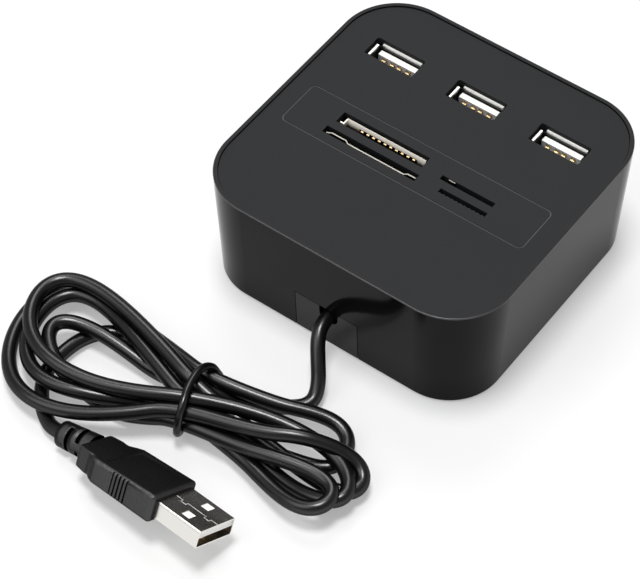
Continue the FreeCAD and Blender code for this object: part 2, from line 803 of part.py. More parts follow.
def slot_2_profile(left, right, z):
    steps = [(left, outer_u), (left + slot_2_curl, jog_u), (channel_left - jog_run, jog_u),
             (channel_left, outer_u), (channel_right, outer_u), (channel_right + jog_run, jog_u),
             (right, jog_u)]
    inner = [V(x, near_face - u, z) for x, u in steps]
    outer_side = [V(x, near_face - u - sheet, z) for x, u in reversed(steps)]
    return polygon(inner + outer_side)


cover_2 = slot_2_profile(slot_2_x - half_2, slot_2_x + half_2, deep_floor)
cover_2 = cover_2.extrude(V(0, 0, socket_top - deep_floor))
cover_2_mouth = slot_2_profile(mouth_left_2, mouth_right_2, socket_top)
cover_2 = cover_2.fuse(cover_2_mouth.extrude(V(0, 0, mouth_top - socket_top)))
save("slot_2_cover", cover_2.removeSplitter())
for x0, x1 in ((slot_2_x - half_2, channel_left), (channel_right, slot_2_x + half_2)):
    body_2 = body_2.cut(off_board(-1, x0, x1, jog_u, outer_u, deep_floor, socket_top))
save("slot_2_body", body_2.removeSplitter())

# Small card behind: flat cover with one spring tab that stands in the slot.
floor_3 = socket_top - slot_3_depth
body_3, half_3 = tray(1, slot_3_x, slot_3_width, slot_3_plate, slot_3_card, floor_3,
                      slot_3_contacts, slot_3_contact_pitch, "slot_3")
cover_u3 = slot_3_plate + slot_3_card
cover_3 = off_board(1, slot_3_x - half_3, slot_3_x + half_3, cover_u3, cover_u3 + sheet, floor_3, socket_top)
tab_3_x = slot_3_x - slot_3_width / 2 + slot_3_tab_inset
cover_3 = cover_3.fuse(off_board(1, tab_3_x, tab_3_x + slot_3_tab_width, cover_u3, cover_u3 + sheet,
                                 socket_top, mouth_top))
save("slot_3_cover", cover_3.removeSplitter())
save("slot_3_body", body_3.removeSplitter())

# Small card in front: flat cover with a toothed upper edge.
floor_4 = socket_top - slot_4_depth
body_4, half_4 = tray(-1, slot_4_x, slot_4_width, slot_4_plate, slot_4_card, floor_4,
                      slot_4_contacts, slot_4_contact_pitch, "slot_4")
cover_u4 = slot_4_plate + slot_4_card
mouth_half_4 = slot_4_width / 2 - sheet
cover_4 = off_board(-1, slot_4_x - half_4, slot_4_x + half_4, cover_u4, cover_u4 + sheet, floor_4, socket_top)
cover_4 = cover_4.fuse(off_board(-1, slot_4_x - mouth_half_4, slot_4_x + mouth_half_4,
                                 cover_u4, cover_u4 + sheet, socket_top, mouth_top))
tooth_count = int(2 * mouth_half_4 / (2 * tooth_width))
for k in range(tooth_count):
    left = slot_4_x - mouth_half_4 + (2 * k + 0.5) * tooth_width
    cover_4 = cover_4.cut(off_board(-1, left, left + tooth_width, cover_u4, cover_u4 + sheet,
                                    mouth_top - tooth_depth, mouth_top))
save("slot_4_cover", cover_4.removeSplitter())
save("slot_4_body", body_4.removeSplitter())

# Cord inside the case, its clamp and its four wires to the main board.
cord_stub = rod_y(cord_diameter, cord_x, cord_z, lead_start, stub_end)
save("cord_stub", cord_stub)
cord_clamp = block(cradle_x0, cradle_x1, cradle_y0, cradle_y1, cord_z + clamp_gap / 2, cord_z + clamp_height)
cord_clamp = cord_clamp.cut(cord_bore)
clamp_top = cord_z + clamp_height
for x in clamp_screws_x:
    cord_clamp = cord_clamp.cut(rod(screw_diameter + 2 * screw_clearance, x, clamp_y, cord_z, clamp_top))
save("cord_clamp", cord_clamp)
save("clamp_screws", Part.makeCompound([placed(base_screw, x, clamp_y, clamp_top) for x in clamp_screws_x]))
wires = []
for k in range(wire_count):
    outwards = k - (wire_count - 1) / 2
    x = cord_x + math.copysign(wire_bundle / 2, outwards)
    z = cord_z + (wire_bundle / 2 if abs(outwards) < 1 else -wire_bundle / 2)
    x_out = cord_x + outwards * wire_fan
    bend_y = stub_end + wire_straight
    route = [V(x, stub_end, z), V(x, bend_y, z), V(x_out, bend_y + wire_drop_run, wire_low),
             V(x_out, wire_rise_y - wire_rise_run, wire_low),
             V(x_out, wire_rise_y, wire_low + wire_rise_bend), V(x_out, wire_rise_y, board_bottom)]
    wires.append(tube(route, wire_diameter, "wire %d" % (k + 1)))
save("cord_wires", Part.makeCompound(wires))


# Plug: overmould with grip grooves and a slotted boot, folded shell, white insulator and four contacts.
def mould_outline():
    # Seen from above: straight sides that draw in along a smooth curve to the neck.
    half = mould_width / 2
    neck = neck_width / 2
    start = -(mould_length - shoulder / 2)
    end = start - shoulder
    middle = (start + end) / 2
    edges = [Part.makeLine(V(0, half, 0), V(0, -half, 0)),
             Part.makeLine(V(-neck_end, -neck, 0), V(-neck_end, neck, 0))]
    for sign in (-1, 1):
        curve = Part.BezierCurve()
        curve.setPoles([V(start, sign * half, 0), V(middle, sign * half, 0),
                        V(middle, sign * neck, 0), V(end, sign * neck, 0)])
        edges.append(Part.makeLine(V(0, sign * half, 0), V(start, sign * half, 0)))
        edges.append(curve.toShape())
        edges.append(Part.makeLine(V(end, sign * neck, 0), V(-neck_end, sign * neck, 0)))
    return Part.Wire(Part.__sortEdges__(edges))


boot_hinge = V(boot_root - neck_end, 0, 0)


def boot():
    # Tapered sleeve with slots that take turns round the cord, so that it bends evenly.
    sleeve = Part.makeCone(boot_front / 2, boot_rear / 2, boot_length, boot_hinge, V(-1, 0, 0))
    for k in range(boot_slot_count):
        x = -neck_end - boot_slot_start - k * boot_slot_pitch
        ring = Part.makeCylinder(boot_front, boot_slot, V(x, 0, 0), V(-1, 0, 0))
        ring = ring.cut(Part.makeCylinder(boot_slot_floor / 2, boot_slot, V(x, 0, 0), V(-1, 0, 0)))
        web = block(x - boot_slot, x, -boot_front, boot_front, -boot_web / 2, boot_web / 2)
        web.rotate(V(0, 0, 0), V(1, 0, 0), 90 * k)
        sleeve = sleeve.cut(ring.cut(web))
    sleeve.rotate(boot_hinge, V(0, 1, 0), -boot_droop)
    return sleeve


def plug_tube(width, height, corner, x0, x1):
    # Rounded rectangular bar along the plug's axis.
    bar = plate(width, height, corner, x0, x1 - x0)
    bar.rotate(V(0, 0, 0), V(0, 0, 1), 90)
    bar.rotate(V(0, 0, 0), V(0, 1, 0), 90)
    return bar


mould = Part.Face(mould_outline()).extrude(V(0, 0, mould_height))
mould.translate(V(0, 0, -mould_height / 2))
flat_edges = level_edges(mould, -mould_height / 2) + level_edges(mould, mould_height / 2)
mould = mould.makeFillet(mould_round, flat_edges)
recess_x = -mould_length + shoulder
mould = mould.cut(block(recess_x, recess_x + recess_length, -recess_width / 2, recess_width / 2,
                        mould_height / 2 - recess_depth, mould_height / 2))
for k in range(grip_count):
    x = -grip_middle + (k - (grip_count - 1) / 2) * grip_pitch
    for sign in (-1, 1):
        y = sign * (mould_width / 2 - grip_depth / 2)
        mould = mould.cut(block(x - grip_width / 2, x + grip_width / 2, y - grip_depth / 2,
                                y + grip_depth / 2, -mould_height / 2, mould_height / 2))
mould = mould.fuse(boot())
shell_bar = plug_tube(shell_width, shell_height, shell_corner, -shell_inside, shell_length)
mould = mould.cut(shell_bar)
plug_overmould = mould.removeSplitter()

shell_bore = plug_tube(shell_width - 2 * sheet, shell_height - 2 * sheet, shell_corner - sheet / 2,
                       -shell_inside, shell_length)
shell = shell_bar.cut(shell_bore)
top_z = shell_height / 2
for sign in (-1, 1):
    y = sign * plug_hole_spread
    for z in (-top_z, top_z - sheet):
        shell = shell.cut(block(plug_hole_x - plug_hole / 2, plug_hole_x + plug_hole / 2,
                                y - plug_hole / 2, y + plug_hole / 2, z, z + sheet))
# Dovetailed seam along the middle of the top, where the folded sheet meets itself.
half_seam = seam_width / 2
half_tooth = seam_tooth_length / 2
seam = [(-shell_inside, 0)]
for x in seam_teeth:
    seam += [(x - half_tooth, 0), (x - half_tooth, -seam_tooth_reach),
             (x + half_tooth, -seam_tooth_reach), (x + half_tooth, 0)]
seam.append((shell_length, 0))
for (x0, y0), (x1, y1) in zip(seam, seam[1:]):
    shell = shell.cut(block(x0 - half_seam, x1 + half_seam, min(y0, y1) - half_seam, max(y0, y1) + half_seam,
                            top_z - sheet, top_z))
plug_shell = shell.removeSplitter()
insulator_top = shell_height / 2 - sheet
plug_insulator = block(-shell_inside, shell_length - insulator_set_back, -shell_width / 2, shell_width / 2,
                       insulator_top - insulator_height, insulator_top)
plug_insulator = plug_insulator.fuse(block(-shell_inside, 0, -shell_width / 2, shell_width / 2,
                                           -insulator_top, insulator_top))
plug_insulator = plug_insulator.common(shell_bore).removeSplitter()
pads = []
pad_end = shell_length - insulator_set_back - contact_tip_drop
pad_seat = insulator_top - insulator_height
for offset in contact_offsets:
    pads.append(block(pad_end - pad_length, pad_end, offset - pad_width / 2, offset + pad_width / 2,
                      pad_seat - pad_thickness, pad_seat))

# The plug lies on one long edge, turned by the twist of its cord.
plug_turn = FreeCAD.Placement(V(0, 0, 0), FreeCAD.Rotation(plug_yaw, plug_tilt, plug_roll))
resting = plug_overmould.copy()
resting.Placement = plug_turn
plug_z = -resting.optimalBoundingBox(True).ZMin
plug_place = FreeCAD.Placement(V(plug_x, plug_y, plug_z), plug_turn.Rotation)
for name, shape in (("plug_overmould", plug_overmould), ("plug_shell", plug_shell),
                    ("plug_insulator", plug_insulator), ("plug_contacts", Part.makeCompound(pads))):
    turned = shape.copy()
    turned.Placement = plug_place.multiply(shape.Placement)
    save(name, turned)

# Free stretches of the cord: from the case to the tied turns, and from those to the plug.
lead_points = [V(cord_x, lead_start, cord_z), V(cord_x, -41.4, cord_z), V(1.8, -44.8, 9.5),
               V(4.2, -47.9, 7.0), V(6.7, -51.0, 4.2), V(8.0, -54.2, 2.3), V(7.4, -57.0, 1.9),
               V(4.6, -59.6, 1.85)]
cord_lead = tube(lead_points, cord_diameter, "cord_lead")
droop = FreeCAD.Rotation(V(0, 1, 0), -boot_droop)
boot_end = plug_place.multVec(boot_hinge + droop.multVec(V(-boot_length, 0, 0)))
boot_axis = plug_place.Rotation.multVec(droop.multVec(V(-1, 0, 0)))
tail_points = [boot_end, boot_end + boot_axis * cord_diameter, V(-38.0, -95.6, 2.0), V(-41.0, -93.6, 1.9),
               V(-44.2, -90.4, 1.85)]
cord_tail = tube(tail_points, cord_diameter, "cord_tail")

# Tied turns of the cord: one closed solid of their outer shape, with the eyes of the loops left open.
hank_rim = [(tie_x, waist_y + waist_width / 2), (-34.0, -60.2), (-52.0, -54.8), (-66.2, -62.0),
            (-66.6, -79.6), (-57.6, -93.0), (-42.0, -96.8), (-28.5, -88.2),
            (tie_x, waist_y - waist_width / 2), (3.0, -80.6), (20.0, -84.4), (33.4, -82.4), (34.6, -67.4),
            (26.6, -59.0), (12.6, -56.0), (0.6, -60.6)]
left_eye = [(-54.0, -77.0), (-45.6, -70.6), (-22.0, -74.6), (-42.0, -84.6)]
right_eye = [(3.0, -76.4), (14.0, -73.8), (27.0, -75.8), (16.0, -79.8)]


def closed_face(points):
    path, _ = rounded_path([V(x, y, 0) for x, y in points], closed=True)
    return Part.Face(path)


cord_hank = closed_face(hank_rim).extrude(V(0, 0, hank_height))
cord_hank = cord_hank.makeFillet(hank_round, level_edges(cord_hank, 0) + level_edges(cord_hank, hank_height))
for eye in (left_eye, right_eye):
    cord_hank = cord_hank.cut(closed_face(eye).extrude(V(0, 0, hank_height)))
cord_hank = cord_hank.cut(cord_lead).cut(cord_tail)


# Tie drawn tight round the waist of the turns, which narrow to fill it.
def tie_bar(grow, length):
    # Rounded bar across the turns: the waist itself, or grown on all sides by the tie's thickness.
    waist_height = hank_height - tie_diameter
    bar = plate(waist_height + 2 * grow, waist_width + 2 * grow, waist_round + grow, -length / 2, length)
    bar.rotate(V(0, 0, 0), V(0, 1, 0), 90)
    bar.translate(V(tie_x, waist_y, tie_diameter + waist_height / 2))
    return bar


tie_ring = tie_bar(tie_diameter, tie_diameter).cut(tie_bar(0, tie_diameter))
groove_length = tie_diameter + 2 * cord_slip
groove = tie_bar(waist_width, groove_length).cut(tie_bar(0, groove_length))
save("cord_lead", cord_lead)
save("cord_tail", cord_tail)
save("cord_hank", cord_hank.cut(groove))
save("cord_tie", tie_ring)
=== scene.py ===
import math
from collections import namedtuple

import bmesh
import bpy
from mathutils import Matrix, Vector


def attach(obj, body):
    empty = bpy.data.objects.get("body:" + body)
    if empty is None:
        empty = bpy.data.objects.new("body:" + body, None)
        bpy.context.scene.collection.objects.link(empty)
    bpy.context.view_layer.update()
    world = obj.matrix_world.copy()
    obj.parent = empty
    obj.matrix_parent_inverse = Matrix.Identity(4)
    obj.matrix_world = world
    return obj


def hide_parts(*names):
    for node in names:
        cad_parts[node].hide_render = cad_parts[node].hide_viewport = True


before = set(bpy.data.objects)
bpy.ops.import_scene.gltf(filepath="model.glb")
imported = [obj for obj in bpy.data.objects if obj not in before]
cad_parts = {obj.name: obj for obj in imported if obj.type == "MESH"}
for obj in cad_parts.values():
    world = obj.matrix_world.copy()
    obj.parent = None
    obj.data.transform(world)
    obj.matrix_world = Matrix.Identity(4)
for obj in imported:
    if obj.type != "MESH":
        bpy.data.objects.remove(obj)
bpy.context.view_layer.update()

# The base: a black moulded plate that closes the case from below, with the tab for the cord standing
# in the front wall. It is moulded in one piece and held by four screws.


def finish(name, colour, metallic=0.0, gloss=0.5):
    """Material with one shader, whose plain values are set on its own sockets."""
    material = bpy.data.materials.new(name)
    material.use_nodes = True
    shader = material.node_tree.nodes["Principled BSDF"]
    shader.inputs["Base Color"].default_value = (*colour, 1.0)
    shader.inputs["Metallic"].default_value = metallic
    shader.inputs["Specular IOR Level"].default_value = gloss
    return material


def feed(tree, socket, value):
    """Gives a socket a plain value, or joins it to another node's output."""
    if isinstance(value, bpy.types.NodeSocket):
        tree.links.new(value, socket)
    else:
        socket.default_value = value


def calculate(tree, operation, *values):
    """Math node on plain numbers or other nodes' outputs."""
    node = tree.nodes.new("ShaderNodeMath")
    node.operation = operation
    for socket, value in zip(node.inputs, values):
        feed(tree, socket, value)
    return node.outputs[0]


def surface_grain():
    """Node group: fine grain and broad cloudiness over a moulded or lacquered surface."""
    group = bpy.data.node_groups.new("surface_grain", "ShaderNodeTree")
    group.interface.new_socket("Tone", in_out="INPUT", socket_type="NodeSocketColor")
    for socket in ("Grain Scale", "Cloud Scale", "Tone Change", "Roughness", "Roughness Change"):
        group.interface.new_socket(socket, in_out="INPUT", socket_type="NodeSocketFloat")
    group.interface.new_socket("Tone", in_out="OUTPUT", socket_type="NodeSocketColor")
    for socket in ("Roughness", "Height"):
        group.interface.new_socket(socket, in_out="OUTPUT", socket_type="NodeSocketFloat")
    given = group.nodes.new("NodeGroupInput").outputs
    result = group.nodes.new("NodeGroupOutput").inputs
    place = group.nodes.new("ShaderNodeTexCoord").outputs["Object"]
    noise = []
    for scale, detail in (("Grain Scale", 3.0), ("Cloud Scale", 4.0)):
        texture = group.nodes.new("ShaderNodeTexNoise")
        texture.inputs["Detail"].default_value = detail
        feed(group, texture.inputs["Vector"], place)
        feed(group, texture.inputs["Scale"], given[scale])
        noise.append(texture.outputs["Fac"])
    centred = calculate(group, "SUBTRACT", calculate(group, "ADD", *noise), 1.0)
    change = calculate(group, "MULTIPLY_ADD", centred, given["Tone Change"], 1.0)
    rough = calculate(group, "MULTIPLY_ADD", centred, given["Roughness Change"], given["Roughness"])
    tone = group.nodes.new("ShaderNodeVectorMath")
    tone.operation = "SCALE"
    feed(group, tone.inputs[0], given["Tone"])
    feed(group, tone.inputs["Scale"], change)
    feed(group, result["Tone"], tone.outputs[0])
    feed(group, result["Roughness"], rough)
    feed(group, result["Height"], noise[0])
    return group


grain_group = surface_grain()
micrometre = 0.000001


def textured(name, colour, grain, cloud, tone_change, roughness, roughness_change, bump, **plain):
    """Material with the grain group: its scales count waves in a metre, its bump is in micrometres."""
    material = finish(name, colour, **plain)
    tree = material.node_tree
    shader = tree.nodes["Principled BSDF"]
    group = tree.nodes.new("ShaderNodeGroup")
    group.name = "grain"
    group.node_tree = grain_group
    group.inputs["Tone"].default_value = (*colour, 1.0)
    group.inputs["Grain Scale"].default_value = grain
    group.inputs["Cloud Scale"].default_value = cloud
    group.inputs["Tone Change"].default_value = tone_change
    group.inputs["Roughness"].default_value = roughness
    group.inputs["Roughness Change"].default_value = roughness_change
    relief = tree.nodes.new("ShaderNodeBump")
    relief.inputs["Strength"].default_value = 1.0
    relief.inputs["Distance"].default_value = bump * micrometre
    tree.links.new(group.outputs["Height"], relief.inputs["Height"])
    tree.links.new(group.outputs["Tone"], shader.inputs["Base Color"])
    tree.links.new(group.outputs["Roughness"], shader.inputs["Roughness"])
    tree.links.new(relief.outputs["Normal"], shader.inputs["Normal"])
    return material


def wear(material, *names):
    """Puts a finish on nodes of the frame."""
    for name in names:
        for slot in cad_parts[name].material_slots:
            slot.material = material


base_colour = (0.004, 0.004, 0.0042)
base_plastic = textured("base_plastic", base_colour, grain=2600.0, cloud=60.0, tone_change=0.3,
                        roughness=0.2, roughness_change=0.08, bump=2.0, gloss=0.13)
wear(base_plastic, "base_cover")

# Screws: small cross-recess machine screws, zinc plated and a little dulled, four through the base, four
# through the board and two through the cord clamp.
screw_colour = (0.62, 0.62, 0.6)
screw_steel = textured("screw_steel", screw_colour, grain=3000.0, cloud=400.0, tone_change=0.25,
                       roughness=0.32, roughness_change=0.2, bump=4.0, metallic=1.0)
wear(screw_steel, "base_screws", "board_screws", "clamp_screws")

# Feet: four discs of soft black rubber, punched from sheet and glued into shallow pockets under the base,
# so that the object stands without sliding.
foot_colour = (0.02, 0.02, 0.021)
foot_rubber = textured("foot_rubber", foot_colour, grain=1800.0, cloud=250.0, tone_change=0.3,
                       roughness=0.78, roughness_change=0.15, bump=20.0)
wear(foot_rubber, "rubber_feet")

# Boards: fibreglass with black lacquer, the main one lying under the sockets, the other standing between
# the card slots.
board_colour = (0.006, 0.008, 0.007)
board_lacquer = textured("board_lacquer", board_colour, grain=1500.0, cloud=300.0, tone_change=0.35,
                         roughness=0.45, roughness_change=0.1, bump=10.0, gloss=0.3)
wear(board_lacquer, "main_board", "reader_board")

# Parts on the boards: chips, header and cord clamp moulded in black resin, and bright metal cans for the
# crystal and the capacitors. All but the clamp are soldered to a board.
chip_colour = (0.018, 0.018, 0.019)
chip_resin = textured("chip_resin", chip_colour, grain=4000.0, cloud=300.0, tone_change=0.35,
                      roughness=0.55, roughness_change=0.2, bump=8.0)
wear(chip_resin, "hub_chip", "reader_chip", "link_header", "cord_clamp")
can_colour = (0.78, 0.78, 0.77)
can_metal = textured("can_metal", can_colour, grain=2500.0, cloud=200.0, tone_change=0.12,
                     roughness=0.28, roughness_change=0.15, bump=4.0, metallic=1.0)
wear(can_metal, "crystal", "capacitors")

# Sockets: three upright folded steel shells, each round a white tongue with four gold contacts, soldered to
# the main board. The shells are bright at the hem, and below it they get painted shade, dark further down.
shell_colour = (0.9, 0.89, 0.86)
shell_painted_shade_colour = (0.02, 0.02, 0.02)
hem_bottom, hem_shade = 30.7, 0.3
mm = 0.001


def ramp(tree, value, low, high, start=0.0, end=1.0, kind="LINEAR"):
    """Node that goes from start to end while the value goes from low to high."""
    node = tree.nodes.new("ShaderNodeMapRange")
    node.interpolation_type = kind
    for socket, given in (("Value", value), ("From Min", low), ("From Max", high), ("To Min", start),
                          ("To Max", end)):
        feed(tree, node.inputs[socket], given)
    return node.outputs["Result"]


def blended(tree, share, first, second):
    """Node that goes from the first colour to the second with the share."""
    node = tree.nodes.new("ShaderNodeMix")
    node.data_type = "RGBA"
    for socket, given in (("Factor", share), ("A", first), ("B", second)):
        feed(tree, node.inputs[socket], given)
    return node.outputs["Result"]


def upright(tree, vector):
    """The Z part of a vector."""
    node = tree.nodes.new("ShaderNodeSeparateXYZ")
    tree.links.new(vector, node.inputs["Vector"])
    return node.outputs["Z"]


def step_by_height(tree, low, high):
    """0 below the low level and 1 above the high one, with a soft step between them."""
    place = tree.nodes.new("ShaderNodeTexCoord").outputs["Object"]
    return ramp(tree, upright(tree, place), low, high, kind="SMOOTHSTEP")


def tone_by_height():
    """Node group: one tone below a level and another above it, with a soft step between them."""
    group = bpy.data.node_groups.new("tone_by_height", "ShaderNodeTree")
    for socket in ("Low Tone", "High Tone"):
        group.interface.new_socket(socket, in_out="INPUT", socket_type="NodeSocketColor")
    for socket in ("Low", "High"):
        group.interface.new_socket(socket, in_out="INPUT", socket_type="NodeSocketFloat")
    group.interface.new_socket("Tone", in_out="OUTPUT", socket_type="NodeSocketColor")
    given = group.nodes.new("NodeGroupInput").outputs
    result = group.nodes.new("NodeGroupOutput").inputs
    step = step_by_height(group, given["Low"], given["High"])
    feed(group, result["Tone"], blended(group, step, given["Low Tone"], given["High Tone"]))
    return group


height_group = tone_by_height()


def stepped(material, low_tone, high_tone, low, high):
    """Gives a textured material two tones parted by height, in millimetres."""
    tree = material.node_tree
    group = tree.nodes.new("ShaderNodeGroup")
    group.node_tree = height_group
    group.inputs["Low Tone"].default_value = (*low_tone, 1.0)
    group.inputs["High Tone"].default_value = (*high_tone, 1.0)
    group.inputs["Low"].default_value = low * mm
    group.inputs["High"].default_value = high * mm
    tree.links.new(group.outputs["Tone"], tree.nodes["grain"].inputs["Tone"])
    return group.outputs["Tone"]


shell_steel = textured("shell_steel", shell_colour, grain=2200.0, cloud=120.0, tone_change=0.08,
                       roughness=0.35, roughness_change=0.12, bump=3.0, metallic=0.35)
# Painted shade: the shells' steel turns near black below the hem.
stepped(shell_steel, shell_painted_shade_colour, shell_colour, hem_bottom, hem_bottom + hem_shade)
wear(shell_steel, "port_1_shell", "port_2_shell", "port_3_shell")
tongue_colour = (0.92, 0.91, 0.88)
tongue_plastic = textured("tongue_plastic", tongue_colour, grain=1800.0, cloud=150.0, tone_change=0.06,
                          roughness=0.42, roughness_change=0.1, bump=4.0)
wear(tongue_plastic, "port_1_insulator", "port_2_insulator", "port_3_insulator")
gold_colour = (0.72, 0.52, 0.27)
contact_gold = textured("contact_gold", gold_colour, grain=2600.0, cloud=300.0, tone_change=0.1,
                        roughness=0.25, roughness_change=0.12, bump=3.0, metallic=1.0)
wear(contact_gold, "port_1_contacts", "port_2_contacts", "port_3_contacts", "link_pins", "plug_contacts",
     "slot_1_contacts", "slot_2_contacts", "slot_3_contacts", "slot_4_contacts")

# Card slots: black moulded bodies fixed to the upright board, each closed by a folded steel cover. The lips
# of the covers catch the light under the panel, the first most, and the walls of the first three get painted
# shade further down.
slot_colour = (0.012, 0.012, 0.013)
slot_plastic = textured("slot_plastic", slot_colour, grain=2600.0, cloud=200.0, tone_change=0.3,
                        roughness=0.5, roughness_change=0.15, bump=6.0)
wear(slot_plastic, "slot_1_body", "slot_2_body", "slot_3_body", "slot_4_body")
lip_colour = (0.93, 0.88, 0.78)
lip_painted_shade_colour = (0.13, 0.085, 0.055)
lip_dark, lip_bright = 29.8, 31.1
lip_steel = textured("lip_steel", lip_colour, grain=1800.0, cloud=150.0, tone_change=0.12,
                     roughness=0.38, roughness_change=0.12, bump=4.0, metallic=0.25)
# Painted shade: the first cover's steel turns dark brown further down.
stepped(lip_steel, lip_painted_shade_colour, lip_colour, lip_dark, lip_bright)
wear(lip_steel, "slot_1_cover")
edge_colour = (0.3, 0.285, 0.25)
edge_painted_shade_colour = (0.03, 0.03, 0.03)
edge_dark, edge_bright = 31.6, 32.2
edge_steel = textured("edge_steel", edge_colour, grain=1800.0, cloud=150.0, tone_change=0.12,
                      roughness=0.42, roughness_change=0.12, bump=4.0, metallic=1.0)
# Painted shade: the second and third covers turn near black below their edges.
stepped(edge_steel, edge_painted_shade_colour, edge_colour, edge_dark, edge_bright)
wear(edge_steel, "slot_2_cover", "slot_3_cover")
# The fourth cover is drawn in near-black steel all over.
dark_cover_colour = (0.035, 0.035, 0.036)
dark_cover_steel = textured("dark_cover_steel", dark_cover_colour, grain=1800.0, cloud=150.0, tone_change=0.2,
                      roughness=0.45, roughness_change=0.12, bump=4.0, metallic=1.0)
wear(dark_cover_steel, "slot_4_cover")

# The case: a tapered shell moulded in black plastic, polished on its walls and satin on its narrow top rim,
# whose rounded edges catch the light. Four screws from below pull the base against its bosses.
case_colour = (0.004, 0.004, 0.0042)
rim_colour = (0.017, 0.017, 0.018)
rim_level, rim_step = 32.5, 0.25
rim_roughness = 0.25
case_gloss, rim_gloss = 0.06, 0.8
rim_flat, rim_turned = 0.985, 0.93


def upward(tree):
    """How far a surface faces up, 1 where it is level."""
    return upright(tree, tree.nodes.new("ShaderNodeNewGeometry").outputs["Normal"])


case_plastic = textured("case_plastic", case_colour, grain=2000.0, cloud=40.0, tone_change=0.3,
                        roughness=0.1, roughness_change=0.05, bump=1.0)
stepped(case_plastic, case_colour, rim_colour, rim_level, rim_level + rim_step)
tree = case_plastic.node_tree
shader = tree.nodes["Principled BSDF"]
polish = tree.nodes["grain"].outputs["Roughness"]
satin = step_by_height(tree, rim_level * mm, (rim_level + rim_step) * mm)
rounded = ramp(tree, upward(tree), rim_flat, rim_turned, end=rim_gloss)
duller = calculate(tree, "MULTIPLY_ADD", satin, rim_roughness, polish)
brighter = calculate(tree, "MULTIPLY_ADD", satin, rounded, case_gloss)
tree.links.new(duller, shader.inputs["Roughness"])
tree.links.new(brighter, shader.inputs["Specular IOR Level"])
wear(case_plastic, "case_shell")

# The top panel: a dark matte plate, moulded with the openings in it and dropped into the rim onto its ledge.
# The fine line that is cut round the card slots shows lighter than the plate.
panel_colour = (0.0185, 0.019, 0.0202)
line_colour = (0.085, 0.086, 0.09)
line_bottom, line_top = 32.36, 32.44
level_enough = 0.9
panel_plastic = textured("panel_plastic", panel_colour, grain=2400.0, cloud=80.0, tone_change=0.3,
                         roughness=0.5, roughness_change=0.12, bump=12.0, gloss=0.08)
cut_tone = stepped(panel_plastic, line_colour, panel_colour, line_bottom, line_top)
tree = panel_plastic.node_tree
level = calculate(tree, "GREATER_THAN", upward(tree), level_enough)
panel_tone = blended(tree, level, (*panel_colour, 1.0), cut_tone)
tree.links.new(panel_tone, tree.nodes["grain"].inputs["Tone"])
wear(panel_plastic, "top_panel")

# The cord's end inside the case: black sheath under the clamp, and four thin wires soldered to the board.
# Nothing of it shows from outside, so it has the plain black of the chips.
wear(chip_resin, "cord_stub", "cord_wires")

# The cord: a gloss black sheath over the wires, drawn in one length. It comes out through the notch of the
# tab, lies in a tied hank of loose turns and goes on to the plug.
cord_diameter = 3.6
tie_x = -13.9
lead = [(0.3, -38.0, 10.95), (0.3, -41.4, 10.95), (1.8, -44.8, 9.5), (4.2, -47.9, 7.0), (6.7, -51.0, 4.2),
        (8.0, -54.2, 2.3), (7.4, -57.0, 1.9), (4.6, -59.6, 1.85), (0.0, -62.4, 1.9), (-5.0, -65.6, 2.4),
        (-9.5, -68.3, 5.4)]
tail = [(-20.8, -67.8, 2.0), (-28.9, -65.9, 1.9), (-35.6, -64.0, 1.9), (-43.1, -66.8, 1.9),
        (-46.6, -71.8, 1.9), (-47.8, -77.4, 1.9), (-47.7, -83.6, 1.9), (-46.4, -87.0, 1.85),
        (-44.2, -90.4, 1.85), (-41.0, -93.6, 1.9), (-38.0, -95.6, 2.0), (-35.44, -96.71, 2.35),
        (-31.94, -96.8, 3.18)]
# Each turn leaves the tie, goes round and comes back: the side it lies on, its place in the tie (y and z),
# how far it reaches, how far its tip lies aside, half its width, how much wider its way out is than its way
# back, how pointed its tip is, and its heights on the way.
Turn = namedtuple("Turn", "side place reach aside half_width wider pointed heights")
left, right = -1, 1
turns = [
    Turn(left, (-71.0, 6.0), 38.9, -0.2, 5.1, -2.8, 1.22, (2.6, 4.9, 5.7, 4.3, 1.4)),
    Turn(right, (-79.6, 5.0), 43.2, -0.5, 5.5, -0.5, 0.53, (6.1, 7.0, 6.9, 4.3, 3.3)),
    Turn(left, (-75.5, 2.7), 44.5, 3.4, -12.4, -5.2, 0.93, (6.6, 6.5, 4.4, 5.7, 7.1)),
    Turn(right, (-74.8, 6.9), 37.4, 5.7, -4.3, 3.8, 0.5, (4.8, 2.0, 3.0, 5.3, 6.7)),
    Turn(left, (-67.2, 7.6), 48.5, 1.2, 13.4, -8.0, 1.09, (5.4, 2.4, 2.3, 4.9, 6.2)),
    Turn(right, (-79.0, 8.6), 45.3, 6.1, 6.0, 2.1, 0.5, (9.6, 10.6, 3.6, 3.9, 4.8)),
    Turn(left, (-71.4, 9.6), 46.8, 4.2, 10.1, -4.2, 1.07, (9.3, 8.7, 7.6, 9.0, 9.0)),
    Turn(right, (-76.4, 9.9), 44.8, -0.9, 7.4, 2.6, 1.05, (8.4, 6.4, 5.4, 1.8, 2.0)),
]
last_pass = (-69.4, 2.7)
turn_points = 15
route = list(lead)
for turn, after in zip(turns, [*(turn.place for turn in turns[1:]), last_pass]):
    levels = (turn.place[1], *turn.heights, after[1])
    route.append((tie_x, *turn.place))
    for step in range(1, turn_points):
        share = step / turn_points
        angle = math.pi * share
        out = math.sin(angle) ** turn.pointed
        y = turn.place[0] + (after[0] - turn.place[0]) * share + turn.aside * math.sin(angle)
        y += (turn.half_width + turn.wider * math.cos(angle)) * math.sin(2 * angle)
        rise = (out if step * 2 < turn_points else 2 - out) / 2 * (len(levels) - 1)
        low = int(rise)
        z = levels[low] + (levels[low + 1] - levels[low]) * (rise - low)
        route.append((tie_x + turn.side * turn.reach * out, y, z))
route.append((tie_x, *last_pass))
route += tail


